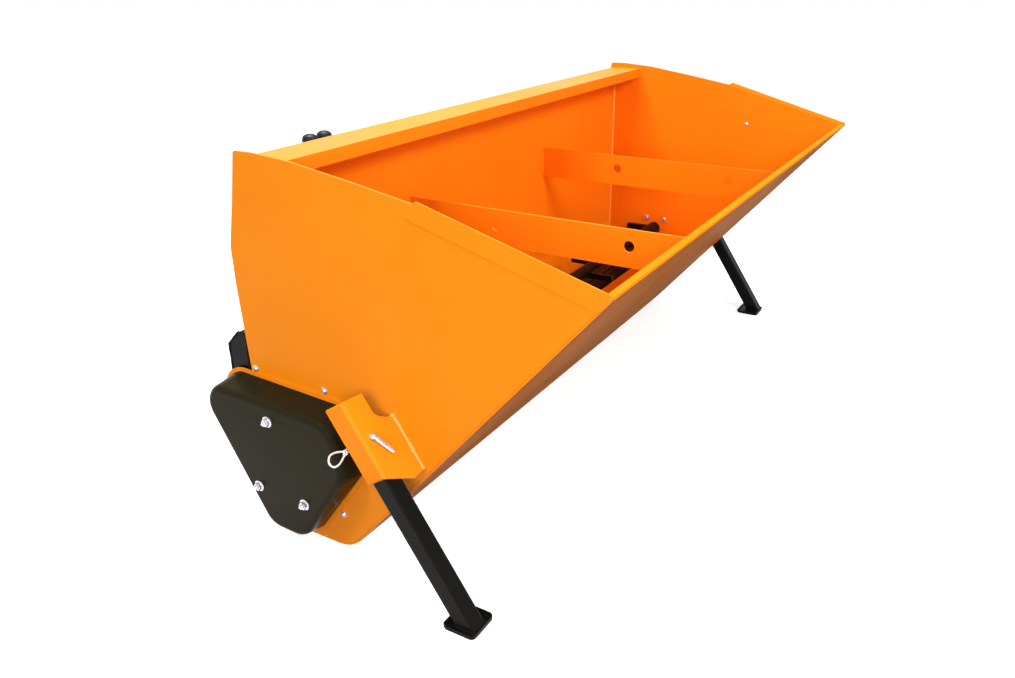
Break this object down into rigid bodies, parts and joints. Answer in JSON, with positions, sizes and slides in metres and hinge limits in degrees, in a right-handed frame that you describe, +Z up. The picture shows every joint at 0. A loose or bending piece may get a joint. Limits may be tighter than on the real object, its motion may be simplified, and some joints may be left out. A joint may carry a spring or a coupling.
{
  "type": "lawn topdresser",
  "caption": "Orange tractor-mounted lawn topdresser: sloping trough hopper, agitator over a fluted spreading roller, black chain case, pinned front legs and a rear three-point hitch.",
  "frame": {"origin": "middle of the bounding box on the floor", "axes": "+X along the hopper from the chain case end to the far end, -Y towards the loading lip, +Y towards the hitch, +Z up"},
  "size_m": [1.8764, 0.9087, 0.784],
  "materials": {
    "orange_paint": "glossy powder coat",
    "black_paint": "satin powder coat",
    "cover_black": "satin",
    "zinc": "bright zinc plate",
    "steel": "oiled",
    "cast_iron": "painted casting",
    "rubber": "semi-gloss"
  },
  "bodies": {
    "frame": {"near_end_plate": "orange_paint", "far_end_plate": "orange_paint", "near_top_doubler": "orange_paint", "far_top_doubler": "orange_paint", "front_plate": "orange_paint", "back_wall": "orange_paint", "top_rail": "orange_paint", "near_brace": "orange_paint", "far_brace": "orange_paint", "trough_floor": "orange_paint", "chain_case_back": "orange_paint", "chain_cover": "cover_black", "cover_nut_1": "zinc", "cover_nut_2": "zinc", "cover_nut_3": "zinc", "case_screw_1": "zinc", "case_screw_2": "zinc", "case_screw_3": "zinc", "hydraulic_motor": "cast_iron", "drive_chain": "steel", "agitator_bearing_near": "cast_iron", "agitator_bearing_far": "cast_iron", "roller_bearing_near": "cast_iron", "roller_bearing_far": "cast_iron", "near_leg_bracket": "orange_paint", "far_leg_bracket": "orange_paint", "near_leg": "black_paint", "far_leg": "black_paint", "near_leg_foot": "black_paint", "far_leg_foot": "black_paint", "hitch_beam": "black_paint", "near_mast": "black_paint", "far_mast": "black_paint", "near_lower_link_bracket": "black_paint", "far_lower_link_bracket": "black_paint", "near_lower_link_pin": "zinc", "far_lower_link_pin": "zinc", "top_link_pin": "zinc", "coupler_holder": "black_paint", "hose_coupler_1": "steel", "hose_coupler_2": "steel", "hydraulic_hose_1": "rubber", "hydraulic_hose_2": "rubber"},
    "motor_shaft": {"motor_sprocket": "steel"},
    "agitator_shaft": {"agitator": "black_paint", "agitator_sprocket": "steel"},
    "roller_shaft": {"spreading_roller": "rubber", "roller_sprocket": "steel"},
    "metering_gate": {"metering_plate": "orange_paint"},
    "near_pin": {"near_leg_pin": "zinc"},
    "far_pin": {"far_leg_pin": "zinc"},
    "near_clip": {"near_r_clip": "zinc"},
    "far_clip": {"far_r_clip": "zinc"},
    "near_linch": {"near_linch_pin": "zinc"},
    "far_linch": {"far_linch_pin": "zinc"},
    "top_linch": {"top_linch_pin": "zinc"},
    "cap_1": {"hose_cap_1": "rubber"},
    "cap_2": {"hose_cap_2": "rubber"}
  },
  "joints": [
    {"name": "motor_spin", "type": "hinge", "parent": "frame", "child": "motor_shaft", "pos_m": [-0.83, 0.33513, 0.287], "axis": [1, 0, 0], "continuous": true},
    {"name": "agitator_spin", "type": "hinge", "parent": "frame", "child": "agitator_shaft", "pos_m": [0, 0.10412, 0.26], "axis": [1, 0, 0], "continuous": true},
    {"name": "roller_spin", "type": "hinge", "parent": "frame", "child": "roller_shaft", "pos_m": [0, 0.18812, 0.082], "axis": [1, 0, 0], "continuous": true},
    {"name": "metering_slide", "type": "slide", "parent": "frame", "child": "metering_gate", "axis": [0, -0.9905, 0.1377], "range_m": [0, 0.025]},
    {"name": "near_pin_turn", "type": "hinge", "parent": "frame", "child": "near_pin", "pos_m": [-0.87, -0.0428, 0.33521], "axis": [0, -0.829, 0.5592], "range_deg": [-90, 90]},
    {"name": "far_pin_turn", "type": "hinge", "parent": "frame", "child": "far_pin", "pos_m": [0.87, -0.0428, 0.33521], "axis": [0, -0.829, 0.5592], "range_deg": [-90, 90]},
    {"name": "near_clip_pull", "type": "slide", "parent": "near_pin", "child": "near_clip", "axis": [-1, 0, 0], "range_m": [0, 0.05]},
    {"name": "far_clip_pull", "type": "slide", "parent": "far_pin", "child": "far_clip", "axis": [1, 0, 0], "range_m": [0, 0.05]},
    {"name": "near_linch_lift", "type": "slide", "parent": "frame", "child": "near_linch", "axis": [0, 0, 1], "range_m": [0, 0.05]},
    {"name": "far_linch_lift", "type": "slide", "parent": "frame", "child": "far_linch", "axis": [0, 0, 1], "range_m": [0, 0.05]},
    {"name": "top_linch_lift", "type": "slide", "parent": "frame", "child": "top_linch", "axis": [0, 0, 1], "range_m": [0, 0.05]},
    {"name": "cap_1_lift", "type": "slide", "parent": "frame", "child": "cap_1", "axis": [0, 0, 1], "range_m": [0, 0.045]},
    {"name": "cap_2_lift", "type": "slide", "parent": "frame", "child": "cap_2", "axis": [0, 0, 1], "range_m": [0, 0.045]}
  ],
  "couplings": [
    {"joint": "agitator_spin", "follows": "roller_spin", "ratio": 0.83333},
    {"joint": "motor_spin", "follows": "roller_spin", "ratio": 1.25}
  ]
}
